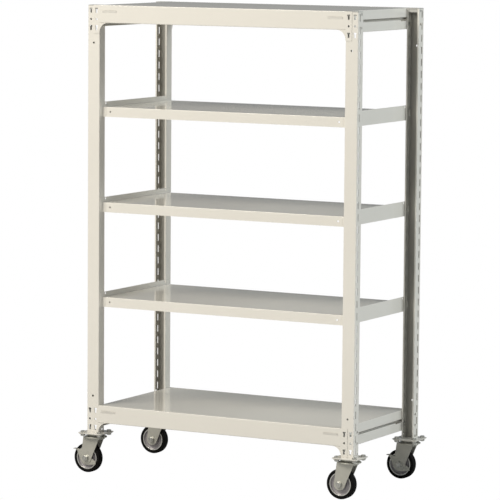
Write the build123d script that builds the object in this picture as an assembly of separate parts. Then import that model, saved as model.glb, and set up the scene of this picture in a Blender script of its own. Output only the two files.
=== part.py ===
from build123d import *
import os
from math import atan2, cos, hypot, pi, sin

# Mobile shelving: four slotted posts, arched beams at the top and bottom, five shelves, four casters.
# All lengths are millimetres. +X is right, +Y is back, +Z is up, and Z = 0 is the floor.

# The rack
rack_width = 1260.0
rack_depth = 600.0
rack_height = 1800.0
shelf_pitch = 400.0
fit_gap = 0.3
overrun = 10.0

# Posts: lipped channels with their open side to the inside of the rack
post_width = 56.0
post_depth = 45.0
post_lip = 10.0
post_sheet = 2.0
post_bend = 2.5
slot_pitch = 50.0
slot_length = 35.0
slot_width = 9.0
slot_inset = 14.0
end_hole_column_gap = 28.0
end_slot_inset = 23.0
end_slot_height = 21.0
end_slot_head_width = 13.0
end_slot_head_height = 6.0
end_slot_stem_width = 8.0
web_hole_diameter = 9.0
web_hole_level = 157.0
flange_hole_diameter = 11.5
flange_hole_inset = 30.0
flange_hole_first = 12.0
flange_hole_top_pitch = 55.0

# Caps on the posts
cap_rim = 3.5
cap_plug_depth = 14.0

# Arched beams on the front and back of the posts
beam_sheet = 2.0
beam_height = 74.0
beam_bend = 3.0
beam_top_flange = 12.0
beam_bottom_flange = 18.0
gusset_height = 118.0
gusset_land = 4.0
gusset_corner = 3.0
louvre_length = 68.0
louvre_height = 10.0
louvre_rise = 3.5
louvre_sheet = 1.2
louvre_drop = 27.0
louvre_inset = 70.0

# Shelf panels
panel_sheet = 1.2
panel_bend = 2.5
end_panel_lip = 38.0
end_panel_return = 10.0
mid_panel_lip = 41.0
mid_panel_return = 12.0
mid_panel_inset = 25.0
lip_hole_diameter = 8.0
lip_hole_from_side = 94.0
lip_hole_drop = 20.0
stiffener_width = 60.0
stiffener_height = 20.0
stiffener_foot = 12.0
stiffener_end_gap = 40.0

# Side rails under the shelves
rail_sheet = 1.6
rail_bend = 2.5
mid_rail_height = 62.0
mid_rail_width = 17.5
mid_rail_post_inset = 5.0
rail_hole_diameter = 9.0
rail_hole_inset = 50.0
rail_hole_drop = 7.0
claw_sheet = 2.0
claw_height = 20.0
claw_width = 7.0
claw_hook = 7.0
end_rail_height = 50.0
end_rail_width = 15.0
end_rail_inset = 20.0
notch_length = 50.0
notch_height = 15.0
notch_inset = 50.0

# Rail bolts through the inner flanges of the posts
rail_bolt_diameter = 8.0
rail_bolt_head = 5.3
rail_bolt_flats = 13.0
rail_nut_height = 6.5
rail_bolt_end = 2.0
lower_bolt_drop = 60.5

# Foot plates under the posts
foot_size = 112.0
foot_sheet = 3.2
foot_corner = 8.0
caster_inset_y = 25.0
foot_bolt_spacing = 80.0
foot_bolt_hole = 11.0

# Foot bolts
foot_bolt_diameter = 10.0
foot_bolt_head = 7.0
foot_bolt_flats = 17.0
foot_nut_height = 8.4
foot_bolt_end = 1.5

# Casters
caster_height = 171.8
caster_plate_size = 106.0
caster_plate_sheet = 3.2
caster_corner = 8.0
race_diameter = 70.0
race_height = 7.5
race_bevel = 2.0
kingpin_diameter = 12.0
kingpin_head_diameter = 24.0
kingpin_head_height = 4.0
running_gap = 0.05
wheel_diameter = 125.0
wheel_width = 32.0
wheel_trail = 36.0

# Forks of the casters
crown_diameter = 94.0
crown_sheet = 4.0
crown_cup_height = 4.0
crown_cup_diameter = 66.0
fork_sheet = 3.0
fork_inner_half = 20.0
fork_eye_radius = 24.5
fork_front_edge = 66.0
fork_back_edge = 12.0
fork_skirt_height = 9.0

# Wheels
tyre_inner_diameter = 97.0
tyre_round = 5.0
tyre_flat = 1.5
hub_rim_width = 30.0
hub_rim_wall = 3.5
hub_dish_radius = 36.0
hub_dish_depth = 8.0
hub_web = 5.0
hub_boss_diameter = 26.0
hub_rib_count = 10
hub_rib_width = 2.4
hub_rib_height = 4.0

# Axles
axle_diameter = 12.0
axle_head_height = 7.5
axle_nut_height = 10.0
axle_flats = 22.0
axle_washer_diameter = 27.0
axle_washer_sheet = 2.0
axle_end = 1.5
spacer_diameter = 22.0

# Brake levers
lever_sheet = 2.5
lever_eye_radius = 30.0
lever_boss_radius = 15.0
lever_outer_reach = 55.0
lever_tip_rise = 39.0
lever_tip_width = 11.0
lever_shoe_reach = 58.0
lever_shoe_drop = 25.0
lever_shoe_height = 14.0
lever_pedal_depth = 15.0
lever_pedal_width = 10.0

# Places worked out from the sizes above
caster_inset_x = post_width / 2
post_base = caster_height + foot_sheet
rack_top = post_base + rack_height
post_top = rack_top - cap_rim
wheel_radius = wheel_diameter / 2
left_extent = -rack_width / 2 + caster_inset_x - wheel_trail - max(lever_outer_reach, wheel_radius)
right_extent = rack_width / 2 - caster_inset_x + foot_size / 2
middle_x = -(left_extent + right_extent) / 2
caster_x = rack_width / 2 - caster_inset_x
caster_y = rack_depth / 2 - caster_inset_y
lower_shelf_top = post_base + gusset_height
gusset_radius = gusset_height - beam_height - gusset_land
hub_half_length = fork_inner_half - lever_sheet - 2 * fit_gap
mid_shelf_slots = [int((rack_height - n * shelf_pitch) // slot_pitch) for n in (1, 2, 3)]
mid_shelf_tops = [post_base + (n - 1 / 2) * slot_pitch for n in mid_shelf_slots]
post_inner_x = rack_width / 2 - post_width
rail_outer_x = post_inner_x - fit_gap
crown_top = caster_height - caster_plate_sheet - race_height - fit_gap - crown_cup_height
upper_bolt_z = rack_top - flange_hole_first - flange_hole_top_pitch
lower_bolt_z = lower_shelf_top - lower_bolt_drop
flange_hole_pitch = lower_bolt_z - post_base - flange_hole_first


def block(x0, x1, y0, y1, z0, z1):
    """A box between two corners."""
    size = (abs(x1 - x0), abs(y1 - y0), abs(z1 - z0))
    return Pos((x0 + x1) / 2, (y0 + y1) / 2, (z0 + z1) / 2) * Box(*size)


def rod_x(diameter, x0, x1, y, z):
    """A round bar along X."""
    turn = Rot(0, 90, 0)
    return Pos((x0 + x1) / 2, y, z) * turn * Cylinder(diameter / 2, abs(x1 - x0))


def rod_y(diameter, y0, y1, x, z):
    """A round bar along Y."""
    turn = Rot(90, 0, 0)
    return Pos(x, (y0 + y1) / 2, z) * turn * Cylinder(diameter / 2, abs(y1 - y0))


def rod_z(diameter, z0, z1, x, y):
    """A round bar along Z."""
    return Pos(x, y, (z0 + z1) / 2) * Cylinder(diameter / 2, abs(z1 - z0))


def hexagon(flats):
    """A hexagon by its size across flats."""
    return RegularPolygon(flats / 2, 6, major_radius=False)


def folded(outline_width, outline_height, sheet, bend):
    """The closed rectangular section of a folded sheet, to be opened by a cut."""
    outer = RectangleRounded(outline_width, outline_height, bend)
    inner = RectangleRounded(outline_width - 2 * sheet, outline_height - 2 * sheet, bend - sheet)
    return outer - inner


def end_slot(x, z, depth):
    """The keyhole slot of a post end: a wide head over a narrow stem, as a cutter along Y."""
    top = z + end_slot_height / 2
    head = block(x - end_slot_head_width / 2, x + end_slot_head_width / 2, -depth, depth,
                 top - end_slot_head_height, top)
    stem = block(x - end_slot_stem_width / 2, x + end_slot_stem_width / 2, -depth, depth,
                 top - end_slot_height, top)
    return head + stem


def end_holes(x, z_bottom, depth):
    """One column of web holes of a post end: keyhole slot, round hole, keyhole slot."""
    upper = end_slot(x, z_bottom + gusset_height - end_slot_inset, depth)
    lower = end_slot(x, z_bottom + end_slot_inset, depth)
    middle = rod_y(web_hole_diameter, -depth, depth, x, z_bottom + gusset_height / 2)
    return [upper, lower, middle]


# Posts. The left front one is drawn with its outer corner at X = 0, Y = 0.
def post():
    """Lipped channel with slots in both flanges and hole groups at both ends."""
    length = post_top - post_base
    section = folded(post_width, post_depth, post_sheet, post_bend)
    mouth = post_width - 2 * post_lip
    section -= Pos(0, post_depth / 2) * Rectangle(mouth, 2 * post_bend)
    solid = Pos(post_width / 2, post_depth / 2, 0) * extrude(section, length)
    cutters = []
    slot_count = int(rack_height // slot_pitch)
    for n in range(slot_count):
        z = (n + 1 / 2) * slot_pitch
        cutters.append(block(-overrun, post_width + overrun,
                             slot_inset - slot_width / 2, slot_inset + slot_width / 2,
                             z - slot_length / 2, min(z + slot_length / 2, length - post_sheet)))
    levels = [flange_hole_first + n * flange_hole_pitch for n in range(3)]
    levels += [rack_height - flange_hole_first - n * flange_hole_top_pitch for n in range(2)]
    for z in levels:
        cutters.append(rod_x(flange_hole_diameter, -overrun, post_width + overrun, flange_hole_inset, z))
    for side in (-1, 1):
        x = post_width / 2 + side * end_hole_column_gap / 2
        cutters += end_holes(x, 0, 2 * post_sheet)
        cutters += end_holes(x, rack_height - gusset_height, 2 * post_sheet)
    for z in (web_hole_level, rack_height - web_hole_level):
        cutters.append(rod_y(web_hole_diameter, -2 * post_sheet, 2 * post_sheet, post_width / 2, z))
    solid = solid - cutters
    return Pos(-rack_width / 2, -rack_depth / 2, post_base) * solid


def post_cap():
    """Plastic cap: a flat rim on the post's end and a plug inside the channel."""
    outline = Pos(post_width / 2, post_depth / 2) * RectangleRounded(post_width, post_depth, post_bend)
    rim = extrude(outline, cap_rim)
    wall = post_sheet + fit_gap
    plug_back = post_depth - wall
    plug = block(wall, post_width - wall, wall, plug_back, -cap_plug_depth, 0)
    hollow = 2 * post_sheet
    plug -= block(wall + hollow, post_width - wall - hollow, wall + hollow, plug_back - hollow,
                  -cap_plug_depth - overrun, 0)
    return Pos(-rack_width / 2, -rack_depth / 2, post_top) * (rim + plug)


# Arched beams. The front one is drawn with its top at Z = 0.
def louvre(side):
    """Pressed hood, open at its top, with the slit behind it."""
    start = -rack_width / 2 + louvre_inset
    face = -rack_depth / 2 - beam_sheet
    z = -louvre_drop
    low = z - louvre_height / 2
    high = z + louvre_height / 2
    outside = Plane.YZ * make_face(Polyline((face, low), (face - louvre_rise, high - louvre_sheet),
                                            (face - louvre_rise, high), (face, high), close=True))
    hood = Pos(start, 0, 0) * extrude(outside, louvre_length)
    pocket_low = low + 2 * louvre_sheet
    pocket = Plane.YZ * make_face(Polyline((face + beam_sheet / 2, pocket_low), (face, pocket_low),
                                           (face - louvre_rise + louvre_sheet, high + fit_gap),
                                           (face + beam_sheet / 2, high + fit_gap), close=True))
    pocket = Pos(start + louvre_sheet, 0, 0) * extrude(pocket, louvre_length - 2 * louvre_sheet)
    if side > 0:
        return mirror(hood, Plane.YZ), mirror(pocket, Plane.YZ)
    return hood, pocket


def arch_beam():
    """Channel between the posts, with a flat face that runs over the posts as gussets."""
    face_back = -rack_depth / 2
    face_front = face_back - beam_sheet
    seam = rack_width / 2 - post_width / 2
    arch = rack_width / 2 - post_width
    outline = Pos(0, -gusset_height / 2) * Rectangle(2 * seam, gusset_height)
    opening = Pos(0, -gusset_height + (gusset_height - beam_height) / 2) * Rectangle(
        2 * arch, gusset_height - beam_height)
    outline -= opening
    inner = outline.vertices().filter_by(
        lambda v: abs(abs(v.X) - arch) < fit_gap and abs(v.Y + beam_height) < fit_gap)
    outline = fillet(inner, gusset_radius)
    feet = outline.vertices().filter_by(lambda v: abs(v.Y + gusset_height) < fit_gap)
    outline = fillet(feet, gusset_corner)
    face = extrude(Plane.XZ.offset(rack_depth / 2) * outline, beam_sheet)
    channel_depth = beam_bottom_flange + beam_sheet
    inner_half = arch - fit_gap
    section = folded(channel_depth, beam_height, beam_sheet, beam_bend)
    section -= Pos(channel_depth / 2, 0) * Rectangle(2 * beam_bend, beam_height)
    trim = beam_bottom_flange - beam_top_flange
    section -= Pos(channel_depth / 2, beam_height / 2) * Rectangle(2 * trim, 4 * beam_sheet)
    channel = extrude(Plane.YZ * section, inner_half, both=True)
    channel = Pos(0, face_front + channel_depth / 2, -beam_height / 2) * channel
    shaved = block(-inner_half, inner_half, face_front, face_back, -beam_bend, 0)
    shaved += block(-inner_half, inner_half, face_front, face_back, -beam_height, beam_bend - beam_height)
    beam = face - shaved + channel
    for side in (-1, 1):
        hood, pocket = louvre(side)
        beam = beam + hood - pocket
        x = side * (rack_width / 2 - post_width / 2 - end_hole_column_gap / 2)
        beam -= [Pos(0, -rack_depth / 2, 0) * hole for hole in end_holes(x, -gusset_height, 2 * beam_sheet)]
    return beam


# Shelf panels. The shelf is drawn with its upper face at Z = 0.
def tray(half_width, half_depth, depth, top, bend):
    """A block with its two long upper edges rounded."""
    solid = block(-half_width, half_width, -half_depth, half_depth, -depth, top)
    return fillet(solid.edges().filter_by(Axis.X).group_by(Axis.Z)[-1], bend)


def panel(half_width, half_depth, lip, side_lip, back_fold, corner):
    """A sheet with folded lips on all four sides, an inward fold under the long ones and a stiffener."""
    sheet = panel_sheet
    solid = tray(half_width, half_depth, lip, 0, panel_bend)
    solid -= tray(half_width - sheet, half_depth - sheet, lip + overrun, -sheet, panel_bend - sheet)
    for side in (-1, 1):
        edge = side * half_depth
        run = half_width - max(corner, sheet)
        solid += block(-run, run, edge, edge - side * back_fold, -lip, sheet - lip)
        if corner > 0:
            flank = side * half_width
            solid -= block(flank - side * 2 * sheet, flank + side * overrun, -half_depth, half_depth,
                           -lip - overrun, -side_lip)
            for end in (-1, 1):
                tip = end * half_depth
                solid -= block(flank - side * corner, flank + side * overrun, tip - end * corner,
                               tip + end * overrun, -lip - overrun, -panel_bend)
    outside = stiffener_width / 2
    run = half_width - stiffener_end_gap
    solid += block(-run, run, -outside, outside, -sheet - stiffener_height, -sheet)
    solid -= block(-half_width + 2 * sheet, half_width - 2 * sheet, sheet - outside, outside - sheet,
                   -stiffener_height, -sheet)
    for side in (-1, 1):
        solid += block(-run, run, side * outside, side * (outside + stiffener_foot), -2 * sheet, -sheet)
    return solid


def end_panel():
    """Top and bottom shelf: as deep as the room between the arched beams."""
    half_depth = rack_depth / 2 - beam_top_flange - fit_gap
    return panel(rail_outer_x, half_depth, end_panel_lip, end_panel_lip, end_panel_return, 0)


def mid_panel():
    """Shelf between: its long lips end at the rails and its short lips stand in them."""
    half_depth = rack_depth / 2 - mid_panel_inset
    half_width = rail_outer_x - rail_sheet - fit_gap
    setback = mid_rail_width - rail_sheet
    side_lip = mid_panel_lip - rail_sheet
    solid = panel(half_width, half_depth, mid_panel_lip, side_lip, mid_panel_return, setback)
    for side in (-1, 1):
        x = side * (rack_width / 2 - lip_hole_from_side)
        for end in (-1, 1):
            edge = end * half_depth
            solid -= rod_y(lip_hole_diameter, edge - panel_sheet * 2, edge + panel_sheet * 2,
                           x, -lip_hole_drop)
    return solid


# Side rails. The left one is drawn.
def claw(y, z, outer_x):
    """A tongue that passes through a slot of the post and hangs behind its flange."""
    behind = outer_x - fit_gap - post_sheet - fit_gap
    arm = block(outer_x + rail_sheet / 2, behind - claw_sheet,
                y - claw_width / 2, y + claw_width / 2, z, z + claw_height)
    hook = block(behind, behind - claw_sheet,
                 y - claw_width / 2, y + claw_width / 2, z - claw_hook, z + claw_height)
    return arm + hook


def mid_rail():
    """Rail of a middle shelf: an upright web that stands above the panel, with an inward foot below it."""
    outer_x = -rail_outer_x
    half = rack_depth / 2 - mid_panel_inset
    bottom = -mid_panel_lip
    top = bottom + mid_rail_height
    web_half = rack_depth / 2 - mid_rail_post_inset
    web = block(outer_x, outer_x + rail_sheet, -web_half, web_half, bottom, top)
    corners = web.edges().filter_by(Axis.X)
    web = fillet(corners, rail_bend)
    foot = block(outer_x, outer_x + mid_rail_width, -half, half, bottom, bottom + rail_sheet)
    rail = web + foot
    for end in (-1, 1):
        face = end * half
        rail += block(outer_x, outer_x + mid_rail_width - fit_gap, face, face - end * rail_sheet,
                      bottom, -panel_bend - fit_gap)
        hole_y = end * (rack_depth / 2 - rail_hole_inset)
        rail -= rod_x(rail_hole_diameter, outer_x - rail_sheet, outer_x + 2 * rail_sheet,
                      hole_y, top - rail_hole_drop)
        rail += claw(end * (rack_depth / 2 - slot_inset), -slot_length / 2, outer_x)
    return rail


def end_rail(bolt_z):
    """Rail under the top or bottom shelf: a channel, notched at both ends of its upper edge."""
    outer_x = -rail_outer_x
    half = rack_depth / 2 - end_rail_inset
    top = -end_panel_lip
    section = folded(end_rail_width, end_rail_height, rail_sheet, rail_bend)
    section -= Pos(end_rail_width / 2, 0) * Rectangle(2 * rail_bend, end_rail_height)
    rail = extrude(Plane.XZ * section, half, both=True)
    rail = Pos(outer_x + end_rail_width / 2, 0, top - end_rail_height / 2) * rail
    for end in (-1, 1):
        near = end * (rack_depth / 2 - notch_inset)
        rail -= block(outer_x - overrun, outer_x + end_rail_width, near, near - end * notch_length,
                      top - notch_height, top + overrun)
        rail -= rod_x(rail_bolt_diameter + 2 * fit_gap, outer_x - overrun, outer_x + 2 * rail_sheet,
                      end * (rack_depth / 2 - flange_hole_inset), bolt_z)
    return rail


def rail_bolts():
    """Bolts with their heads inside the rails, through rail and post flange."""
    bolts = []
    nuts = []
    for side in (-1, 1):
        for end in (-1, 1):
            for z in (lower_bolt_z, upper_bolt_z):
                y = end * (rack_depth / 2 - flange_hole_inset)
                inner = side * (rail_outer_x - rail_sheet)
                outer = side * (post_inner_x + post_sheet)
                head = extrude(Plane.YZ * hexagon(rail_bolt_flats), -side * rail_bolt_head)
                head = Pos(inner, y, z) * head
                tip = outer + side * (rail_nut_height + rail_bolt_end)
                bolts.append(head + rod_x(rail_bolt_diameter, inner, tip, y, z))
                nut = extrude(Plane.YZ * hexagon(rail_bolt_flats), side * rail_nut_height)
                nut = Pos(outer, y, z) * nut
                nuts.append(nut - rod_x(rail_bolt_diameter, inner, tip, y, z))
    return Compound(bolts), Compound(nuts)


# Foot plates, drawn round the swivel axis of their caster at X = 0, Y = 0
def corner_places():
    """The four bolt places of a foot plate."""
    half = foot_bolt_spacing / 2
    return [(x * half, y * half) for x in (-1, 1) for y in (-1, 1)]


def drilled_plate(size, corner, z0, z1):
    """A square plate with rounded corners and four bolt holes."""
    plate = Pos(0, 0, z0) * extrude(RectangleRounded(size, size, corner), z1 - z0)
    return plate - [rod_z(foot_bolt_hole, z0 - overrun, z1 + overrun, x, y) for x, y in corner_places()]


def foot_plate():
    """Plate welded under the end of a post."""
    return drilled_plate(foot_size, foot_corner, caster_height, post_base)


def foot_bolts():
    """One bolt and one nut of a foot plate."""
    low = caster_height - caster_plate_sheet
    tip = low - foot_nut_height - foot_bolt_end
    bolts = []
    nuts = []
    for x, y in corner_places():
        head = Pos(x, y, post_base) * extrude(hexagon(foot_bolt_flats), foot_bolt_head)
        shank = rod_z(foot_bolt_diameter, tip, post_base, x, y)
        bolts.append(head + shank)
        nut = Pos(x, y, low) * extrude(hexagon(foot_bolt_flats), -foot_nut_height)
        nuts.append(nut - shank)
    return bolts, nuts


# Casters, drawn round the swivel axis at X = 0, Y = 0, with the wheel behind it at -X
def caster_plate():
    """Top plate with its bearing race and the kingpin that holds the fork."""
    low = caster_height - caster_plate_sheet
    plate = drilled_plate(caster_plate_size, caster_corner, low, caster_height)
    race = Pos(0, 0, low - race_height / 2) * Cylinder(race_diameter / 2, race_height)
    rim = race.edges().filter_by(GeomType.CIRCLE).sort_by(Axis.Z)[0]
    race = chamfer(rim, race_bevel)
    pin_end = crown_top - crown_sheet - fit_gap
    pin = rod_z(kingpin_diameter, pin_end, low, 0, 0)
    head = rod_z(kingpin_head_diameter, pin_end - kingpin_head_height, pin_end, 0, 0)
    head_edge = head.edges().filter_by(GeomType.CIRCLE).sort_by(Axis.Z)[0]
    head = fillet(head_edge, kingpin_head_height / 2)
    return plate + race + pin + head


def tangent_points(x0, z0, radius):
    """The points where the two tangents from (x0, z0) touch a circle about the axle."""
    reach = hypot(x0, z0)
    base = atan2(z0, x0)
    spread = pi / 2 - atan2(radius, (reach ** 2 - radius ** 2) ** (1 / 2))
    return [(radius * cos(base + s * spread), radius * sin(base + s * spread)) for s in (-1, 1)]


def arc_between(start, end, radius):
    """The short arc about the axle between two points of one circle."""
    x = start[0] + end[0]
    z = start[1] + end[1]
    reach = hypot(x, z)
    return ThreePointArc(start, (x / reach * radius, z / reach * radius), end)


def fork_leg_outline():
    """Side view of a fork leg about the axle: wide at the crown, round at the eye."""
    top = crown_top - crown_sheet / 2 - wheel_radius
    back = (-fork_back_edge, top)
    front = (fork_front_edge, top)
    touch_front = tangent_points(*front, fork_eye_radius)[0]
    touch_back = tangent_points(*back, fork_eye_radius)[1]
    outline = Polyline(touch_back, back, front, touch_front)
    eye = arc_between(touch_front, touch_back, fork_eye_radius)
    return make_face([*outline.edges(), eye])


def caster_fork():
    """Pressed fork: a crown with a raised cup, two legs with ribs and the axle eyes."""
    crown = rod_z(crown_diameter, crown_top - crown_sheet, crown_top, 0, 0)
    rim = crown.edges().filter_by(GeomType.CIRCLE).sort_by(Axis.Z)[-1]
    crown = fillet(rim, crown_sheet / 2)
    cup = rod_z(crown_cup_diameter, crown_top, crown_top + crown_cup_height, 0, 0)
    cup_rim = cup.edges().filter_by(GeomType.CIRCLE).sort_by(Axis.Z)[-1]
    cup = chamfer(cup_rim, race_bevel)
    fork = crown + cup
    outer = fork_inner_half + fork_sheet
    for side in (-1, 1):
        leg = extrude(Plane.XZ * fork_leg_outline(), -side * fork_sheet)
        leg = Pos(-wheel_trail, side * fork_inner_half, wheel_radius) * leg
        fork += leg
    skirt_low = crown_top - crown_sheet - fork_skirt_height
    skirt = block(fork_front_edge - wheel_trail - fork_sheet, fork_front_edge - wheel_trail,
                  -outer, outer, skirt_low, crown_top - crown_sheet)
    fork += skirt
    fork -= rod_z(kingpin_diameter + 2 * running_gap, crown_top - crown_sheet - overrun,
                  crown_top + crown_cup_height + overrun, 0, 0)
    fork -= rod_y(axle_diameter + 2 * running_gap, -outer - overrun, outer + overrun,
                  -wheel_trail, wheel_radius)
    return fork


def wheel_hub():
    """Hub with a bored boss, a dished web with ribs and a rim that holds the tyre."""
    rim_outer = tyre_inner_diameter / 2
    rim_inner = rim_outer - hub_rim_wall
    bore = axle_diameter / 2 + running_gap
    boss = hub_boss_diameter / 2
    half_web = hub_web / 2
    half_rim = hub_rim_width / 2
    profile = Polyline((bore, -hub_half_length), (boss, -hub_half_length), (boss, -half_web),
                       (hub_dish_radius, -half_web), (rim_inner, -hub_dish_depth), (rim_inner, -half_rim),
                       (rim_outer, -half_rim), (rim_outer, half_rim), (rim_inner, half_rim),
                       (rim_inner, hub_dish_depth), (hub_dish_radius, half_web), (boss, half_web),
                       (boss, hub_half_length), (bore, hub_half_length), close=True)
    hub = revolve(Plane.XY * make_face(profile), Axis.Y)
    spokes = []
    for n in range(hub_rib_count):
        rib = block(boss - fit_gap, hub_dish_radius, -hub_rib_height - half_web, hub_rib_height + half_web,
                    -hub_rib_width / 2, hub_rib_width / 2)
        spokes.append(Rot(0, n * 360 / hub_rib_count, 0) * rib)
    hub = hub + spokes
    return Pos(-wheel_trail, 0, wheel_radius) * hub


def tyre():
    """Solid rubber ring with rounded shoulders and a slightly crowned tread."""
    inner = tyre_inner_diameter / 2
    half = wheel_width / 2
    shoulder = wheel_radius - tyre_flat
    crown = ThreePointArc((shoulder, -half + tyre_round), (wheel_radius, 0), (shoulder, half - tyre_round))
    side = wheel_radius - tyre_flat - tyre_round
    left = Line((inner, -half), (side, -half))
    right = Line((side, half), (inner, half))
    bulge = side + tyre_round * sin(pi / 4)
    sag = tyre_round * (1 - cos(pi / 4))
    round_left = ThreePointArc((side, -half), (bulge, -half + sag), (shoulder, -half + tyre_round))
    round_right = ThreePointArc((shoulder, half - tyre_round), (bulge, half - sag), (side, half))
    base = Line((inner, half), (inner, -half))
    section = make_face([left, round_left, crown, round_right, right, base])
    ring = revolve(Plane.XY * section, Axis.Y)
    return Pos(-wheel_trail, 0, wheel_radius) * ring


def axle(braked):
    """Axle bolt, washer, nut and the spacers beside the hub, as separate solids."""
    x = -wheel_trail
    z = wheel_radius
    outer = fork_inner_half + fork_sheet
    front = -outer
    tip = front - axle_washer_sheet - axle_nut_height - axle_end
    shank = rod_y(axle_diameter, tip, outer, x, z)
    head = extrude(Plane.XZ * hexagon(axle_flats), -axle_head_height)
    bolt = shank + Pos(x, outer, z) * head
    washer = rod_y(axle_washer_diameter, front, front - axle_washer_sheet, x, z) - shank
    nut = extrude(Plane.XZ * hexagon(axle_flats), axle_nut_height)
    nut = Pos(x, front - axle_washer_sheet, z) * nut - shank
    hub_end = hub_half_length + fit_gap
    pieces = [bolt, washer, nut, rod_y(spacer_diameter, hub_end, fork_inner_half, x, z) - shank]
    if not braked:
        pieces.append(rod_y(spacer_diameter, -hub_end, -fork_inner_half, x, z) - shank)
    return Compound(pieces)


def brake_lever():
    """Brake plate on the axle, between the fork's leg and the wheel, with its toe pedal turned outwards."""
    back = -hub_half_length - fit_gap
    front = back - lever_sheet
    tip = (-lever_outer_reach, lever_tip_rise)
    tip_low = (-lever_outer_reach + lever_pedal_width, lever_tip_rise - lever_tip_width)
    shoe_low = (lever_shoe_reach, -lever_shoe_drop)
    shoe_high = (lever_shoe_reach, lever_shoe_height - lever_shoe_drop)
    low_left = tangent_points(*tip_low, lever_eye_radius)[1]
    low_right = tangent_points(*shoe_low, lever_eye_radius)[0]
    high_right = tangent_points(*shoe_high, lever_boss_radius)[1]
    high_left = tangent_points(*tip, lever_eye_radius)[0]
    arm = Polyline(high_right, high_left, tip, tip_low, low_left)
    shoe = Polyline(low_right, shoe_low, shoe_high, high_right)
    outline = make_face([*arm.edges(), arc_between(low_left, low_right, lever_eye_radius), *shoe.edges()])
    plate = Pos(0, back, 0) * extrude(Plane.XZ * outline, lever_sheet)
    pedal = block(-lever_outer_reach, -lever_outer_reach + lever_pedal_width, front - lever_pedal_depth, back,
                  lever_tip_rise - lever_sheet, lever_tip_rise)
    lever = plate + pedal
    lever -= rod_y(axle_diameter + 2 * running_gap, front - overrun, back + overrun, 0, 0)
    return Pos(-wheel_trail, 0, wheel_radius) * lever


def write(name, solid):
    """Puts a piece, drawn about the rack's middle, in its place and writes it."""
    export_step(Pos(middle_x, 0, 0) * solid, "parts/" + name + ".step")


def corners():
    """The four corners of the rack: name, side along X and side along Y."""
    return [("front_left", -1, -1), ("front_right", 1, -1), ("back_left", -1, 1), ("back_right", 1, 1)]


def to_corner(solid, x_side, y_side):
    """Mirrors a piece of the left front corner to another corner."""
    if x_side > 0:
        solid = mirror(solid, Plane.YZ)
    if y_side > 0:
        solid = mirror(solid, Plane.XZ)
    return solid


def main():
    os.makedirs("parts", exist_ok=True)
    one_post = post()
    one_cap = post_cap()
    for name, x_side, y_side in corners():
        write("post_" + name, to_corner(one_post, x_side, y_side))
        write("post_cap_" + name, to_corner(one_cap, x_side, y_side))

    beam = arch_beam()
    for level, z in (("top", rack_top), ("bottom", lower_shelf_top)):
        write("arch_beam_" + level + "_front", Pos(0, 0, z) * beam)
        write("arch_beam_" + level + "_back", Pos(0, 0, z) * mirror(beam, Plane.XZ))

    wide_panel = end_panel()
    for level, z, bolt_z in (("top", rack_top, upper_bolt_z), ("bottom", lower_shelf_top, lower_bolt_z)):
        low_rail = end_rail(bolt_z - z)
        write("shelf_" + level, Pos(0, 0, z) * wide_panel)
        write("side_rail_" + level + "_left", Pos(0, 0, z) * low_rail)
        write("side_rail_" + level + "_right", Pos(0, 0, z) * mirror(low_rail, Plane.YZ))
    inner_panel = mid_panel()
    high_rail = mid_rail()
    for level, z in zip(("upper", "middle", "lower"), mid_shelf_tops):
        write("shelf_" + level, Pos(0, 0, z) * inner_panel)
        write("side_rail_" + level + "_left", Pos(0, 0, z) * high_rail)
        write("side_rail_" + level + "_right", Pos(0, 0, z) * mirror(high_rail, Plane.YZ))

    bolts, nuts = rail_bolts()
    write("rail_bolts", bolts)
    write("rail_nuts", nuts)

    plate_bolts = []
    plate_nuts = []
    corner_bolts, corner_nuts = foot_bolts()
    for name, x_side, y_side in corners():
        place = Pos(x_side * caster_x, y_side * caster_y, 0)
        braked = name in ("front_left", "back_right")
        write("foot_plate_" + name, place * foot_plate())
        write("caster_plate_" + name, place * caster_plate())
        write("caster_fork_" + name, place * caster_fork())
        write("wheel_hub_" + name, place * wheel_hub())
        write("tyre_" + name, place * tyre())
        write("axle_" + name, place * axle(braked))
        if braked:
            write("brake_lever_" + name, place * brake_lever())
        plate_bolts += [place * bolt for bolt in corner_bolts]
        plate_nuts += [place * nut for nut in corner_nuts]
    write("foot_bolts", Compound(plate_bolts))
    write("foot_nuts", Compound(plate_nuts))


main()
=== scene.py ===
import math

import bmesh
import bpy
import numpy as np
from mathutils import Matrix, Vector


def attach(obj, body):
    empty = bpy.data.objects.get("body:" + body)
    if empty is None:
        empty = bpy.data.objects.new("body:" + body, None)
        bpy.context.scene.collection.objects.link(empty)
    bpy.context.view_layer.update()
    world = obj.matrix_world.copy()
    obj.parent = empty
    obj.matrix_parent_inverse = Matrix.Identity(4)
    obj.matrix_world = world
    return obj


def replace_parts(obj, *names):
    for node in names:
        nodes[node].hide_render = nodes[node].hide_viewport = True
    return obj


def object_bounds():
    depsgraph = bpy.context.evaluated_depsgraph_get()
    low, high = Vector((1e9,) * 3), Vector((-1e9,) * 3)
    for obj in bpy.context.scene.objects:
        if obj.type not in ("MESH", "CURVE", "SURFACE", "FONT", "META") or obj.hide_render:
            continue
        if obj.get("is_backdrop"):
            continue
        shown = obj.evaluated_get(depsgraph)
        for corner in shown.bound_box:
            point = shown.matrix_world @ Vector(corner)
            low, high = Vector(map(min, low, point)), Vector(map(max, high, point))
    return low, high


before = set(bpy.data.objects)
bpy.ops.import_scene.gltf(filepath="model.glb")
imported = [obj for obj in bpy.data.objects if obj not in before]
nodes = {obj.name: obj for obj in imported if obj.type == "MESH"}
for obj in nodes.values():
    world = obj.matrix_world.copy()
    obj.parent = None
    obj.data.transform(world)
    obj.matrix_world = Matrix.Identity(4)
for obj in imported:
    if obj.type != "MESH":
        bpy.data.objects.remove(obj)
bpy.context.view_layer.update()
scene = bpy.context.scene
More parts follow.
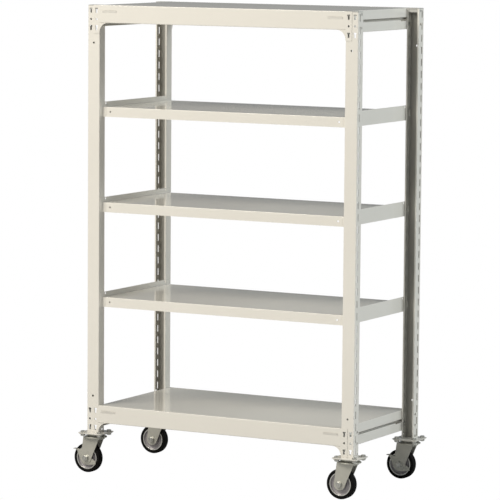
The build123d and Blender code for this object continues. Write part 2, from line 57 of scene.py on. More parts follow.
# The rack's corners, each with its side along X and along Y.
CORNERS = {"front_left": (-1, -1), "front_right": (1, -1), "back_left": (-1, 1), "back_right": (1, 1)}


# Camera: a long lens from the right front, a little above the upper shelves. Its place comes
# from the rack's edges in the photograph, and the frame is square.
camera_place = Vector((6.4424, -11.7644, 2.4089))
azimuth = math.radians(28.691)
elevation = math.radians(6.182)
roll = math.radians(0.453)
sensor_mm = 36.0
frame_px = 500.0
focal_px = 3221.549

forward = Vector((-math.sin(azimuth) * math.cos(elevation), math.cos(azimuth) * math.cos(elevation),
                  -math.sin(elevation)))
level_right = Vector((math.cos(azimuth), math.sin(azimuth), 0.0))
level_up = level_right.cross(forward)
right = level_right * math.cos(roll) + level_up * math.sin(roll)
up = level_up * math.cos(roll) - level_right * math.sin(roll)
camera_data = bpy.data.cameras.new("camera")
camera_data.sensor_width = sensor_mm
camera_data.lens = focal_px / frame_px * sensor_mm
camera_data.clip_end = 200.0
camera = bpy.data.objects.new("camera", camera_data)
scene.collection.objects.link(camera)
turn = Matrix((right, up, -forward)).transposed().to_4x4()
camera.matrix_world = Matrix.Translation(camera_place) @ turn
scene.camera = camera
scene.view_settings.view_transform = "Standard"


# Studio: a pale floor and a room of soft light. Two large warm softboxes hang high in front, one of
# them to the left, and a cooler one hangs on the right, as in a product photograph on white.
floor_half = 40.0
floor_colour = (0.55, 0.55, 0.55, 1.0)
room_colour = (0.215, 0.225, 0.230, 1.0)
white_colour = (1.0, 1.0, 1.0, 1.0)
warm_light = (1.0, 0.94, 0.84)
cool_light = (0.95, 1.0, 1.0)
softbox_side = 4.0
softbox_distance = 9.0
softbox_aim = Vector((0.0, 0.0, 1.0))


def white_to_camera(tree, lit, white_kind, output):
    """Shows plain white to the camera itself, while all other light meets the lit shader."""
    white = tree.nodes.new(white_kind)
    white.inputs["Color"].default_value = white_colour
    ray = tree.nodes.new("ShaderNodeLightPath")
    choice = tree.nodes.new("ShaderNodeMixShader")
    tree.links.new(ray.outputs["Is Camera Ray"], choice.inputs[0])
    tree.links.new(lit.outputs[0], choice.inputs[1])
    tree.links.new(white.outputs[0], choice.inputs[2])
    tree.links.new(choice.outputs[0], tree.nodes[output].inputs["Surface"])


def softbox(name, bearing, height_angle, watts, colour):
    """A square area light that looks at the rack. Its bearing runs from the front to the right."""
    bearing, height_angle = math.radians(bearing), math.radians(height_angle)
    away = Vector((math.sin(bearing) * math.cos(height_angle), -math.cos(bearing) * math.cos(height_angle),
                   math.sin(height_angle)))
    data = bpy.data.lights.new(name, "AREA")
    data.shape = "SQUARE"
    data.size = softbox_side
    data.energy = watts
    data.color = colour
    lamp = bpy.data.objects.new(name, data)
    lamp.location = softbox_aim + softbox_distance * away
    lamp.rotation_euler = (-away).to_track_quat("-Z", "Y").to_euler()
    scene.collection.objects.link(lamp)


floor_data = bpy.data.meshes.new("studio_floor")
floor_data.from_pydata([(-floor_half, -floor_half, 0), (floor_half, -floor_half, 0),
                        (floor_half, floor_half, 0), (-floor_half, floor_half, 0)], [], [(0, 1, 2, 3)])
floor = bpy.data.objects.new("studio_floor", floor_data)
scene.collection.objects.link(floor)
floor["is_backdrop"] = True
paper = bpy.data.materials.new("pale_paper")
paper.use_nodes = True
paper_shader = paper.node_tree.nodes["Principled BSDF"]
paper_shader.inputs["Base Color"].default_value = floor_colour
paper_shader.inputs["Roughness"].default_value = 0.9
paper_shader.inputs["Specular IOR Level"].default_value = 0.0
white_to_camera(paper.node_tree, paper_shader, "ShaderNodeEmission", "Material Output")
floor_data.materials.append(paper)

world = bpy.data.worlds.new("studio")
world.use_nodes = True
scene.world = world
room = world.node_tree.nodes["Background"]
room.inputs["Color"].default_value = room_colour
white_to_camera(world.node_tree, room, "ShaderNodeBackground", "World Output")

softbox("front_softbox", -10.0, 35.0, 330.0, warm_light)
softbox("left_softbox", -30.0, 40.0, 400.0, warm_light)
softbox("right_softbox", 100.0, 25.0, 390.0, cool_light)


# Paint on posts, beams, shelves, rails and foot plates: warm white baked enamel over pressed
# steel. It is glossy, with the faint orange peel and the soft clouding of sprayed enamel.
class Field:
    """A socket of a node tree, which a number can be added to or multiply."""

    def __init__(self, finish, socket):
        self.finish = finish
        self.socket = socket

    def __radd__(self, other):
        return self.finish.add("ShaderNodeMath", {"operation": "ADD"}, {0: other, 1: self})

    def __mul__(self, other):
        return self.finish.add("ShaderNodeMath", {"operation": "MULTIPLY"}, {0: self, 1: other})


class Finish:
    """A material with one Principled shader and the nodes that vary it."""

    def __init__(self, name, **constants):
        self.material = bpy.data.materials.new(name)
        self.material.use_nodes = True
        self.tree = self.material.node_tree
        self.shader = self.tree.nodes["Principled BSDF"]
        for socket, value in constants.items():
            self.shader.inputs[socket.replace("_", " ")].default_value = value
        self.place = self.add("ShaderNodeTexCoord", {}, {}, "Object")

    def add(self, kind, settings, sockets, output=0):
        """A node with its settings, and with values or links on its sockets."""
        node = self.tree.nodes.new(kind)
        for name, value in settings.items():
            setattr(node, name, value)
        for name, value in sockets.items():
            if isinstance(value, Field):
                self.tree.links.new(value.socket, node.inputs[name])
            else:
                node.inputs[name].default_value = value
        return Field(self, node.outputs[output])

    def noise(self, scale, detail):
        """Soft noise between 0 and 1 on Object coordinates; scale is in waves per metre."""
        return self.add("ShaderNodeTexNoise", {}, {"Vector": self.place, "Scale": scale, "Detail": detail})

    def blend(self, factor, first, second):
        """A colour that runs from the first to the second with the factor."""
        sockets = {"Factor": factor, "A": first, "B": second}
        return self.add("ShaderNodeMix", {"data_type": "RGBA"}, sockets, "Result")

    def bump(self, height, distance):
        """A normal from a height between 0 and 1 over a distance in metres."""
        return self.add("ShaderNodeBump", {}, {"Height": height, "Distance": distance})

    def varies(self, **sockets):
        """Links fields to sockets of the shader."""
        for socket, value in sockets.items():
            self.tree.links.new(value.socket, self.shader.inputs[socket.replace("_", " ")])


def dress(names, finish):
    """Gives CAD nodes one finish."""
    for name in names:
        mesh = nodes[name].data
        mesh.materials.clear()
        mesh.materials.append(finish.material)


painted = ("post_front", "post_back", "arch_beam", "shelf", "side_rail", "foot_plate")
enamel_colours = ((0.800, 0.782, 0.735, 1.0), (0.772, 0.752, 0.702, 1.0))
enamel = Finish("warm_white_enamel", Coat_Roughness=0.04, IOR=1.5)
clouding = enamel.noise(scale=4.0, detail=3.0)
orange_peel = enamel.noise(scale=420.0, detail=1.0)
enamel.varies(
    Base_Color=enamel.blend(clouding, *enamel_colours),
    Roughness=0.11 + clouding * 0.07,
    Coat_Weight=0.30 + clouding * 0.15,
    Normal=enamel.bump(orange_peel, distance=0.00002),
)
dress([name for name in nodes if name.startswith(painted)], enamel)


# Posts: lipped channels, rolled from 2 mm sheet and powder coated. Slots run up the outer flanges, and
# the inner ones are open only where a shelf's claws hook in and bolts pass. Faces that look into a channel
# and the cut edges of its holes get a darker grey, painted shade for the shadow in the channel and the
# holes.
middle_x = 21.25
post_x = 602.0
half_depth = 300.0
post_foot = 175.0
post_length = 1800.0
post_half_width = 28.0
post_depth = 45.0
post_sheet = 2.0
post_bend = 4.0
post_lip = 7.0
slot_pitch = 50.0
slot_inset, slot_width, slot_length = 16.0, 7.5, 29.5
claw_heights = (575.0, 975.0, 1375.0)
claw_room = 18.0
end_hole_band = (7.0, 24.0)
cut_end = 1.0
inward_lean = 1.0
# The solid's own lips and slots, which are larger than the measured ones above.
solid_lip = 10.0
solid_slot_inset, solid_slot_width, solid_slot_length = 14.0, 9.0, 35.0
# How far beside a surface a place still counts as lying on it, and how near two corners are one.
near = 0.1
same_corner = 1e-6
# A darker grey for the faces inside the channels and the walls of the holes: painted shade.
channel_shade_colours = ((0.50, 0.49, 0.45, 1.0), (0.44, 0.43, 0.395, 1.0))
painted_shade_enamel = Finish("painted_shade_grey", IOR=1.5)
painted_shade_cloud = painted_shade_enamel.noise(scale=5.0, detail=3.0)
painted_shade_enamel.varies(
    Base_Color=painted_shade_enamel.blend(painted_shade_cloud, *channel_shade_colours),
    Roughness=0.34 + painted_shade_cloud * 0.12,
)


def merged_copy(node):
    """An editable copy of a CAD node's mesh, with its loose triangles joined."""
    work = bmesh.new()
    work.from_mesh(nodes[node].data)
    bmesh.ops.remove_doubles(work, verts=work.verts, dist=same_corner)
    return work


def as_piece(work, mesh, finishes, body):
    """Fills a mesh with edited geometry and makes it a piece of that name, which rides on a body."""
    work.to_mesh(mesh)
    work.free()
    for finish in finishes:
        mesh.materials.append(finish.material)
    piece = bpy.data.objects.new(mesh.name, mesh)
    scene.collection.objects.link(piece)
    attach(piece, body)
    return piece


def in_slot_row(out, deep):
    """Whether a place lies in the row of slots of the outer flange. The inner one has out turned round."""
    across = solid_slot_width / 2 + near
    return out > post_half_width - post_sheet - near and abs(deep - solid_slot_inset) < across


def in_post(place, x_side, y_side):
    """Millimetres outwards from a post's middle, inwards from its face and up from its foot."""
    x, y, z = (1000.0 * value for value in place)
    return x_side * (x - middle_x) - post_x, half_depth - y_side * y, z - post_foot


def is_wall(face, axis):
    """Whether a face belongs to the wall of a hole in a sheet whose two faces look along an axis."""
    return abs(face.normal[axis]) < 0.5


def is_closed(face, x_side, y_side):
    """Whether a face belongs to the wall of a hole that the post doesn't have: the inner flange's slots
    away from the claws, and the end holes at the back."""
    out, deep, up = in_post(face.calc_center_median(), x_side, y_side)
    if in_slot_row(-out, deep) and is_wall(face, 0):
        return min(abs(up - claw) for claw in claw_heights) > claw_room
    in_back_web = y_side > 0 and deep < post_sheet and is_wall(face, 1)
    in_band = end_hole_band[0] < abs(out) < end_hole_band[1]
    return in_back_web and in_band and cut_end < up < post_length - cut_end


def reshaped(vert, x_side, y_side):
    """Where a corner of the mesh goes: slots shrink about their middles, and lips get shorter."""
    out, deep, up = in_post(vert.co, x_side, y_side)
    if in_slot_row(out, deep):
        slot_middle = (up // slot_pitch + 0.5) * slot_pitch
        deep = slot_inset + (deep - solid_slot_inset) * slot_width / solid_slot_width
        up = slot_middle + (up - slot_middle) * slot_length / solid_slot_length
    elif deep > post_depth - post_sheet - near and abs(abs(out) - post_half_width + solid_lip) < near:
        out = math.copysign(post_half_width - post_lip, out)
    place = x_side * (out + post_x) + middle_x, y_side * (half_depth - deep), up + post_foot
    return [value / 1000.0 for value in place]


def is_in_painted_shade(face, x_side, y_side):
    """Whether a face gets the painted shade: it looks into the channel or is a cut edge of the flanges' or
    the web's holes.
    """
    out, deep, up = in_post(face.calc_center_median(), x_side, y_side)
    inwards = -x_side * face.normal.x * out - y_side * face.normal.y * (post_depth / 2 - deep)
    in_flange = abs(out) > post_half_width - post_sheet - near and post_bend < deep < post_depth - post_bend
    in_web = deep < post_sheet + near and abs(out) < end_hole_band[1]
    return inwards > inward_lean or in_flange and is_wall(face, 0) or in_web and is_wall(face, 1)


for corner, sides in CORNERS.items():
    work = merged_copy(f"post_{corner}")
    closed = [face for face in work.faces if is_closed(face, *sides)]
    bmesh.ops.delete(work, geom=closed, context="FACES")
    bmesh.ops.edgeloop_fill(work, edges=[edge for edge in work.edges if edge.is_boundary])
    bmesh.ops.recalc_face_normals(work, faces=work.faces)
    for vert in work.verts:
        vert.co = reshaped(vert, *sides)
    for face in work.faces:
        # Faces inside the channel and the walls of the holes take the darker grey of painted shade.
        face.material_index = int(is_in_painted_shade(face, *sides))
        face.smooth = False
    mesh = bpy.data.meshes.new(f"rolled_post_{corner}")
    post = as_piece(work, mesh, [enamel, painted_shade_enamel], "rack")
    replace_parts(post, f"post_{corner}")


# End rails: folded channels of 1.6 mm sheet under the top and bottom shelves, bolted between the posts.
# Their upper flange lies 10 mm below the shelf's lip and turns up at its inner edge to carry the shelf, so a
# groove runs along the whole rail. The groove's faces get a darker grey, painted shade for the shadow in it.
end_shelf_tops = {"top": 1975.0, "bottom": 293.0}
end_shelf_lip = 38.0
end_rail_outer_x = 573.7
end_rail_width = 15.0
end_rail_sheet = 1.6
end_rail_length = 560.0
upper_flange_reach = 8.0
groove = 10.0
for level, shelf_top in end_shelf_tops.items():
    rail_top = shelf_top - end_shelf_lip
    for side, x_side in (("left", -1), ("right", 1)):
        work = merged_copy(f"side_rail_{level}_{side}")
        for vert in work.verts:
            if 1000.0 * vert.co.z > rail_top - upper_flange_reach:
                vert.co.z -= groove / 1000.0
        edge_x = end_rail_outer_x - end_rail_width + end_rail_sheet / 2
        edge_place = Vector((middle_x + x_side * edge_x, 0.0, rail_top - groove / 2))
        edge_size = Vector((end_rail_sheet, end_rail_length, groove, 1000.0))
        spread = Matrix.Translation(edge_place / 1000.0) @ Matrix.Diagonal(edge_size / 1000.0)
        bmesh.ops.create_cube(work, size=1.0, matrix=spread)
        # Faces in the groove's band take the darker grey: painted shade in the groove.
        for face in work.faces:
            above_flange = 1000.0 * face.calc_center_median().z - edge_place.z
            face.material_index = int(abs(above_flange) < groove / 2 + near)
            face.smooth = False
        mesh = bpy.data.meshes.new(f"lowered_rail_{level}_{side}")
        rail = as_piece(work, mesh, [enamel, painted_shade_enamel], "rack")
        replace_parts(rail, f"side_rail_{level}_{side}")


# Caps: plugs of pale grey moulded polyethylene, pressed into the open upper ends of the posts.
# Their flat rims close the posts, and the moulding leaves them dull with a faint grain.
cap_colours = ((0.50, 0.50, 0.48, 1.0), (0.44, 0.44, 0.425, 1.0))
cap_finish = Finish("pale_grey_moulding", IOR=1.5)
cap_grain = cap_finish.noise(scale=900.0, detail=2.0)
cap_cloud = cap_finish.noise(scale=20.0, detail=2.0)
cap_finish.varies(
    Base_Color=cap_finish.blend(cap_cloud, *cap_colours),
    Roughness=0.42 + cap_grain * 0.12,
    Normal=cap_finish.bump(cap_grain, distance=0.00004),
)
dress([f"post_cap_{corner}" for corner in CORNERS], cap_finish)


# Bolts and nuts of the foot plates: sixteen hexagon bolts with full threads hold the casters, their
# heads on the plates' upper sides and their nuts below. They are cold formed and bright zinc plated.
upwards = (0.0, 0.0, 1.0)
caster_y = 275.0
foot_bolt_offset = 40.0
foot_bolt = {"diameter": 10.0, "flats": 17.0, "grip": 6.4, "nut": 8.4}
foot_bolt_end = {"pitch": 1.5, "head": 7.0, "tip": 1.5}
round_steps = 72
thread_steps = 36
sharp_degrees = 32.0
zinc_colours = ((0.66, 0.66, 0.63, 1.0), (0.50, 0.50, 0.47, 1.0))
zinc = Finish("bright_zinc", Metallic=0.9, IOR=2.0)
zinc_spangle = zinc.noise(scale=260.0, detail=3.0)
zinc.varies(
    Base_Color=zinc.blend(zinc_spangle, *zinc_colours),
    Roughness=0.26 + zinc_spangle * 0.16,
    Normal=zinc.bump(zinc_spangle, distance=0.00003),
)


def grid_piece(name, grids, finishes, body):
    """One mesh of closed shells, riding on a body. Each grid is an array (rings, steps, 3) in millimetres
    whose rings close on themselves, and whose ends are points or meet each other."""
    places = np.concatenate([grid.reshape(-1, 3) for grid in grids]) * 0.001
    faces = []
    start = 0
    for grid in grids:
        rings, steps = grid.shape[:2]
        ring, step = np.meshgrid(np.arange(rings - 1), np.arange(steps), indexing="ij")
        after = (step + 1) % steps
        quads = np.stack([ring * steps + step, ring * steps + after,
                          (ring + 1) * steps + after, (ring + 1) * steps + step], axis=-1)
        faces.append(quads.reshape(-1, 4) + start)
        start += rings * steps
    mesh = bpy.data.meshes.new(name)
    mesh.from_pydata(places.tolist(), [], np.concatenate(faces).tolist())
    work = bmesh.new()
    work.from_mesh(mesh)
    bmesh.ops.remove_doubles(work, verts=work.verts, dist=same_corner)
    bmesh.ops.dissolve_degenerate(work, edges=work.edges, dist=same_corner / 10)
    bmesh.ops.recalc_face_normals(work, faces=work.faces)
    piece = as_piece(work, mesh, finishes, body)
    mesh.shade_smooth()
    mesh.set_sharp_from_angle(angle=math.radians(sharp_degrees))
    return piece


def full_turn(steps):
    """The angles of a whole turn in equal steps."""
    return np.linspace(0.0, 2.0 * np.pi, steps, endpoint=False)


def laid(grid, along, place):
    """Turns a grid's Z axis along another direction and moves its zero to a place."""
    turn = np.array(Vector(upwards).rotation_difference(Vector(along)).to_matrix())
    return grid @ turn.T + np.array(place, float)


def turned(profile, steps=round_steps):
    """A profile of (radius, height) pairs turned about Z: x = r cos a, y = r sin a, z = height."""
    angle = full_turn(steps)
    radius, height = np.asarray(profile, float).T[:, :, None]
    return np.stack([radius * np.cos(angle), radius * np.sin(angle), height + 0.0 * angle], axis=-1)


def hexagonal(flats, height, bore, both_ends):
    """A hexagon about Z with cut corners. r(a) is half the flats over the cosine of the angle to the
    nearest flat. Beyond 0.95 of half the flats the end falls by 0.577, which is tan 30 degrees, of the
    way out."""
    angle = full_turn(round_steps)
    edge = flats / 2 / np.cos((angle + np.pi / 6) % (np.pi / 3) - np.pi / 6)
    circle = np.full_like(edge, 0.95 * flats / 2)
    fall = 0.577 * (edge - circle)
    inner = np.full_like(edge, bore / 2)
    flat = np.zeros_like(edge)
    low = [(edge, fall), (circle, flat)] if both_ends else [(edge, flat)]
    high = [(inner, flat + height), (circle, flat + height), (edge, height - fall)]
    rings = [(inner, flat), *high, *low, (inner, flat)]
    return np.stack([np.stack([r * np.cos(angle), r * np.sin(angle), z], axis=-1) for r, z in rings])


def thread(diameter, pitch, length):
    """The end of a bolt from its tip at Z = 0, in eight rings to the pitch: r swings by 0.6 of the pitch
    below the crest as height over pitch minus the turn passes each whole number, and a bevel of 0.8
    pitches trims the tip."""
    height = np.linspace(0.0, length, int(8 * length / pitch))[:, None]
    turn = np.linspace(0.0, 1.0, thread_steps, endpoint=False)[None, :]
    swing = np.abs(2.0 * ((height / pitch - turn) % 1.0) - 1.0)
    radius = np.minimum(diameter / 2 - 0.6 * pitch * swing, diameter / 2 - 0.8 * pitch + height)
    radius = np.vstack([0.0 * turn, radius, 0.0 * turn])
    height = np.vstack([height[:1], height, height[-1:]]) + 0.0 * turn
    angle = 2.0 * np.pi * turn
    return np.stack([radius * np.cos(angle), radius * np.sin(angle), height], axis=-1)


def bolt_grids(place, along, diameter, flats, grip, nut, pitch, head, tip):
    """A bolt whose head stands on a place, along a direction, and whose shank runs the other way through
    the grip and the nut. A raised washer face of 0.3 mm lies under the head."""
    end = grip + nut + tip
    threaded = nut + tip + pitch
    runout = threaded - 0.5 * pitch
    core_radius = 0.46 * diameter
    face_radius = 0.47 * flats
    face_height = 0.3
    shank = turned([(0.0, runout), (core_radius, runout), (diameter / 2, threaded), (diameter / 2, end),
                    (0.0, end)], thread_steps)
    face = turned([(0.0, 0.0), (face_radius, 0.0), (face_radius, face_height), (0.0, face_height)])
    lifts = [(hexagonal(flats, head - face_height, 0.0, False), face_height), (face, 0.0), (shank, -end),
             (thread(diameter, pitch, threaded), -end)]
    return [laid(grid + (0.0, 0.0, lift), along, place) for grid, lift in lifts]


def nut_grid(place, along, diameter, flats, grip, nut):
    """A hexagon nut under the grip of such a bolt."""
    return laid(hexagonal(flats, nut, diameter, True) - (0.0, 0.0, grip + nut), along, place)


def at_caster(corner, left, height):
    """A place in millimetres that lies to the left of a caster's kingpin, at a height over the floor."""
    x_side, y_side = CORNERS[corner]
    return np.array((middle_x + x_side * post_x - left, y_side * caster_y, height))


heads, nuts = [], []
for corner in CORNERS:
    for x_bolt in (-foot_bolt_offset, foot_bolt_offset):
        for y_bolt in (-foot_bolt_offset, foot_bolt_offset):
            spot = at_caster(corner, 0.0, post_foot) + (x_bolt, y_bolt, 0.0)
            heads += bolt_grids(spot, upwards, **foot_bolt, **foot_bolt_end)
            nuts.append(nut_grid(spot, upwards, **foot_bolt))
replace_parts(grid_piece("foot_bolts_cut", heads, [zinc], "rack"), "foot_bolts")
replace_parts(grid_piece("foot_nuts_cut", nuts, [zinc], "rack"), "foot_nuts")


# Bolts and nuts of the end rails: eight smaller bolts of the same kind, with their heads inside the
# rails of the top and bottom shelves and their nuts inside the posts.
rail_bolt_x = 572.1
rail_bolt_y = 270.0
rail_bolt_heights = (232.5, 1908.0)
rail_bolt = {"diameter": 8.0, "flats": 13.0, "grip": 3.9, "nut": 6.5}
rail_bolt_end = {"pitch": 1.25, "head": 5.3, "tip": 2.0}
heads, nuts = [], []
for x_side, y_side in CORNERS.values():
    for height in rail_bolt_heights:
        spot = (middle_x + x_side * rail_bolt_x, y_side * rail_bolt_y, height)
        inwards = (-x_side, 0.0, 0.0)
        heads += bolt_grids(spot, inwards, **rail_bolt, **rail_bolt_end)
        nuts.append(nut_grid(spot, inwards, **rail_bolt))
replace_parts(grid_piece("rail_bolts_cut", heads, [zinc], "rack"), "rail_bolts")
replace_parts(grid_piece("rail_nuts_cut", nuts, [zinc], "rack"), "rail_nuts")


# Welds: short beads that hold the posts' feet to their plates, along the outer and inner flanges.
# They are laid by hand and painted over with the rest, so their ripples show through the enamel.
bead_start = 261.0
bead_length = 32.0
bead_radius = 2.1
bead_stand_off = 0.6
bead_lift = 0.4
bead_sink = 0.8
ripple_height = 0.22
ripple_pitch = 1.7
ripple_lag = 0.4
bead_rings = 97
bead_steps = 20
beads = []
for x_side, y_side in CORNERS.values():
    for out in (1.0, -1.0):
        # Along s the radius grows by the ripples' |sin(pi s/pitch)| and closes at both ends by the
        # root of 1 - (2s/length - 1)^8. The underside is flat and lies just inside the plate.
        run = np.linspace(0.0, bead_length, bead_rings)[:, None]
        angle = full_turn(bead_steps)[None, :]
        ends = np.sqrt(np.clip(1.0 - (2.0 * run / bead_length - 1.0) ** 8, 0.0, 1.0))
        ripple = np.abs(np.sin(np.pi * (run + ripple_lag * np.cos(angle)) / ripple_pitch))
        radius = ends * (bead_radius + ripple_height * ripple)
        away = post_half_width + bead_stand_off + radius * np.cos(angle)
        x = middle_x + x_side * (post_x + out * away)
        y = y_side * (bead_start + run) + 0.0 * angle
        z = np.maximum(post_foot + bead_lift + radius * np.sin(angle), post_foot - bead_sink)
        beads.append(np.stack([x, y, z], axis=-1))
grid_piece("foot_welds", beads, [enamel], "rack")


# Axles of the wheels: a hexagon bolt of 12 mm through the fork's legs, with its head on one side and
# a washer and lock nut on the other. Plain spacers keep the hub between the legs.
axle_height = 62.5
trail = 36.0
fork_outer = 23.0
fork_inner = 20.0
spacer_end = 17.2
washer_sheet = 2.0
axle_radius = 6.0
washer_radius = 13.5
spacer_radius = 11.0
collar_edge = 0.4
axle_bolt = {"diameter": 12.0, "flats": 22.0, "grip": 48.0, "nut": 10.0}
axle_bolt_end = {"pitch": 1.75, "head": 7.5, "tip": 1.5}
braked = ("front_left", "back_right")
backwards = (0.0, 1.0, 0.0)
for corner in CORNERS:
    spot = at_caster(corner, trail, axle_height)
    head_spot = spot + (0.0, fork_outer, 0.0)
    grids = bolt_grids(head_spot, backwards, **axle_bolt, **axle_bolt_end)
    grids.append(nut_grid(head_spot, backwards, **axle_bolt))
    collars = [(washer_radius, -fork_outer - washer_sheet, -fork_outer),
               (spacer_radius, spacer_end, fork_inner)]
    if corner not in braked:
        collars.append((spacer_radius, -fork_inner, -spacer_end))
    for radius, low, high in collars:
        inset = radius - collar_edge
        ring = turned([(axle_radius, low), (inset, low), (radius, low + collar_edge),
                       (radius, high - collar_edge), (inset, high), (axle_radius, high), (axle_radius, low)])
        grids.append(laid(ring, backwards, spot))
    axle_set = grid_piece(f"axle_set_{corner}", grids, [zinc], f"caster_{corner}")
    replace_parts(axle_set, f"axle_{corner}")


# Casters: pressed steel plates, forks and brake levers, barrel plated with zinc, a little duller
# than the bolts. The plates carry the swivel races, the forks hang from the kingpins.
plated_colours = ((0.56, 0.555, 0.50, 1.0), (0.46, 0.455, 0.41, 1.0))
plated = Finish("zinc_plated_pressing", Metallic=0.45, IOR=1.7)
plated_cloud = plated.noise(scale=38.0, detail=3.0)
plated_grain = plated.noise(scale=700.0, detail=2.0)
plated.varies(
    Base_Color=plated.blend(plated_cloud, *plated_colours),
    Roughness=0.34 + plated_grain * 0.14,
    Normal=plated.bump(plated_grain, distance=0.00003),
)
dress([f"caster_{part}_{corner}" for part in ("plate", "fork") for corner in CORNERS], plated)


# Brake levers: two plates of 2.5 mm steel with rounded edges, between the fork's front leg and the
# wheel. Each has an eye on the axle, a shoe towards the tyre and a toe pedal turned outwards.
lever_sheet = 2.5
lever_edge = 0.5
lever_rounding = 2.5
eye_radius = 30.0
eye_points = 14
neck_radius = 15.0
lever_middle = (-8.0, 2.0)
toe_left, toe_right, toe_low, toe_high = -55.0, -45.0, 28.0, 39.0
shoe_reach, shoe_low, shoe_high = 46.0, -25.0, -13.0
pedal_depth = 15.0
pedal_sheet = 2.4
pedal_edge = 0.6
pedal_middle = (-50.0, -6.2)


def tangent(x, y, radius, side):
    """Where a line from a point touches a circle about zero: the angle to the point, give or take the
    angle whose cosine is the radius over the distance."""
    angle = math.atan2(y, x) + side * math.acos(radius / math.hypot(x, y))
    return radius * math.cos(angle), radius * math.sin(angle)


def rounded_corner(before, corner, after, reach, most, steps):
    """The curve (1-t)(1-t) a + 2t(1-t) c + tt b in place of a corner c. Its ends a and b lie on the
    corner's two sides at the reach from it, or on a short side at the most of its length."""
    t = np.linspace(0.0, 1.0, steps)[:, None]
    first, last = [corner + (end - corner) * min(most, reach / max(np.hypot(*(end - corner)), reach))
                   for end in (before, after)]
    return (1.0 - t) ** 2 * first + 2.0 * t * (1.0 - t) * corner + t ** 2 * last


def rounded_outline(corners, reach):
    """A closed outline with rounded corners, as a pressed edge has."""
    corners = np.asarray(corners, float)
    around = zip(np.roll(corners, 1, 0), corners, np.roll(corners, -1, 0))
    return np.concatenate([rounded_corner(*three, reach, most=0.49, steps=7) for three in around])


def plate_grid(outline, centre, low, high, edge):
    """A flat plate about Z: the outline shrinks towards its centre by the edge at both faces."""
    centre = np.asarray(centre, float)
    away = outline - centre
    inner = centre + away * (1.0 - edge / np.hypot(away[:, 0], away[:, 1]))[:, None]
    rings = [(0.0 * away + centre, low), (inner, low), (outline, low + edge), (outline, high - edge),
             (inner, high), (0.0 * away + centre, high)]
    return np.stack([np.column_stack([ring, np.full(len(ring), height)]) for ring, height in rings])


eye_from = tangent(toe_right, toe_low, eye_radius, 1.0)
eye_to = tangent(shoe_reach, shoe_low, eye_radius, -1.0)
start, stop = math.atan2(eye_from[1], eye_from[0]), math.atan2(eye_to[1], eye_to[0])
start += 2.0 * math.pi if start < 0.0 else 0.0
stop += 2.0 * math.pi if stop < start else 0.0
eye = [(eye_radius * math.cos(angle), eye_radius * math.sin(angle))
       for angle in np.linspace(start, stop, eye_points)]
lever_corners = [(toe_left, toe_high), (toe_right, toe_low), *eye, (shoe_reach, shoe_low),
                 (shoe_reach, shoe_high), tangent(shoe_reach, shoe_high, neck_radius, 1.0),
                 tangent(toe_left, toe_high, eye_radius, -1.0)]
lever_outline = rounded_outline(lever_corners, lever_rounding)
pedal_corners = [(toe_left, -pedal_depth), (toe_right, -pedal_depth), (toe_right, lever_sheet),
                 (toe_left, lever_sheet)]
pedal_outline = rounded_outline(pedal_corners, lever_rounding)
for corner in braked:
    spot = at_caster(corner, trail, axle_height)
    plate = plate_grid(lever_outline, lever_middle, spacer_end, spacer_end + lever_sheet, lever_edge)
    plate = np.stack([plate[..., 0], -plate[..., 2], plate[..., 1]], axis=-1) + spot
    pedal = plate_grid(pedal_outline, pedal_middle, toe_high - pedal_sheet, toe_high, pedal_edge)
    pedal = pedal + spot - (0.0, spacer_end + lever_sheet, 0.0)
    lever = grid_piece(f"pressed_lever_{corner}", [plate, pedal], [plated],
                       f"brake_{corner}")
    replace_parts(lever, f"brake_lever_{corner}")


# Hubs: pressed steel wheels of two dished discs with a swaged ring, on a turned boss. Their rolled rims
# get a brighter, shinier metal, a painted highlight for the light ring along each rim; the discs keep a dull
# grey passivation.
hub_colours = ((0.37, 0.35, 0.37, 1.0), (0.31, 0.295, 0.31, 1.0))
rim_highlight_colours = ((0.80, 0.80, 0.78, 1.0), (0.66, 0.66, 0.64, 1.0))
hub_finish = Finish("grey_hub", Metallic=0.35, IOR=1.6)
hub_cloud = hub_finish.noise(scale=60.0, detail=2.0)
hub_finish.varies(
    Base_Color=hub_finish.blend(hub_cloud, *hub_colours),
    Roughness=0.36 + hub_cloud * 0.12,
    Normal=hub_finish.bump(hub_cloud, distance=0.00003),
)
# The rims' brighter metal is a painted highlight for the light ring along each rim.
painted_highlight_rim_finish = Finish("rim_painted_highlight", Metallic=0.85, IOR=2.0)
rim_cloud = painted_highlight_rim_finish.noise(scale=90.0, detail=2.0)
painted_highlight_rim_finish.varies(
    Base_Color=painted_highlight_rim_finish.blend(rim_cloud, *rim_highlight_colours),
    Roughness=0.24 + rim_cloud * 0.10,
    Normal=painted_highlight_rim_finish.bump(rim_cloud, distance=0.00002),
)
# Half of the hub's profile, as radius and distance from the middle plane, from the rim to the bore.
half_hub = [(48.5, 0.0), (48.5, 15.6), (44.3, 15.6), (44.3, 8.0), (37.0, 6.0), (31.5, 7.0), (30.6, 8.2),
            (27.0, 8.8), (26.0, 8.0), (15.5, 9.5), (13.0, 11.0), (13.0, 16.9), (6.05, 16.9), (6.05, 0.0)]
hub_rounding = 1.1
wheel_steps = 120
rim_inner_radius = 44.0
rim_inner_side = 11.0


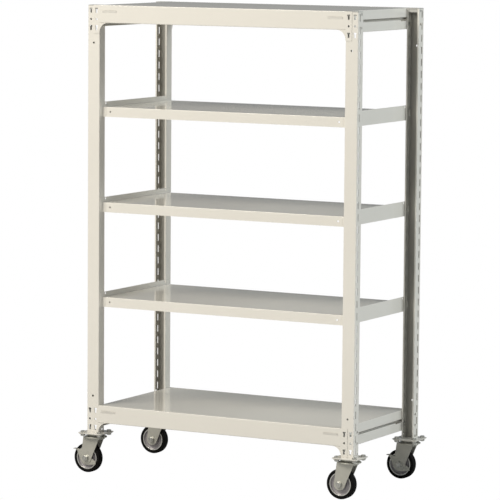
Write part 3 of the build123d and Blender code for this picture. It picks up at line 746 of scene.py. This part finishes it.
def closed_profile(half, reach):
    """A half profile joined with its mirror image, whose corners are rounded but for the first and last."""
    corners = np.asarray(half + [(radius, -height) for radius, height in reversed(half[:-1])], float)
    rounded = [rounded_corner(*three, reach, most=0.5, steps=5)
               for three in zip(corners, corners[1:], corners[2:])]
    return np.concatenate([corners[:1], *rounded, corners[-1:], corners[:1]])


hub_profile = closed_profile(half_hub, hub_rounding)
for corner in CORNERS:
    spot = at_caster(corner, trail, axle_height)
    hub = grid_piece(f"pressed_hub_{corner}", [laid(turned(hub_profile, wheel_steps), backwards, spot)],
                     [hub_finish, painted_highlight_rim_finish], f"wheel_{corner}")
    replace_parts(hub, f"wheel_hub_{corner}")
    middles = np.empty(3 * len(hub.data.polygons))
    hub.data.polygons.foreach_get("center", middles)
    x, y, z = (middles.reshape(-1, 3) * 1000.0 - spot).T
    # Faces of the rims' lips take the brighter metal: painted highlight.
    on_highlit_rim = (np.hypot(x, z) > rim_inner_radius) & (np.abs(y) > rim_inner_side)
    hub.data.polygons.foreach_set("material_index", on_highlit_rim.astype(np.int32))


# Tyres: solid black rubber rings, moulded in two halves and pressed over the rims. A shallow line
# runs round the tread where the mould parts, and a raised band round each side.
rubber_colours = ((0.002, 0.002, 0.002, 1.0), (0.004, 0.004, 0.004, 1.0))
rubber = Finish("black_rubber", IOR=1.5, Specular_IOR_Level=0.12)
rubber_grain = rubber.noise(scale=600.0, detail=3.0)
rubber.varies(
    Base_Color=rubber.blend(rubber_grain, *rubber_colours),
    Roughness=0.55 + rubber_grain * 0.2,
    Normal=rubber.bump(rubber_grain, distance=0.00008),
)
# Half of the tyre's profile, as radius and distance from the middle plane, from the rim to the tread.
half_tyre = [(48.5, 0.0), (48.5, 15.8), (49.2, 16.0), (51.6, 16.0), (52.2, 16.4), (54.6, 16.4), (55.2, 16.0),
             (58.0, 15.9), (61.2, 14.6), (62.5, 11.5), (62.5, 0.5), (62.2, 0.0)]
tyre_rounding = 0.9
tyre_profile = closed_profile(half_tyre, tyre_rounding)
for corner in CORNERS:
    spot = at_caster(corner, trail, axle_height)
    tyre = grid_piece(f"moulded_tyre_{corner}", [laid(turned(tyre_profile, wheel_steps), backwards, spot)],
                      [rubber], f"wheel_{corner}")
    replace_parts(tyre, f"tyre_{corner}")

low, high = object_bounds()
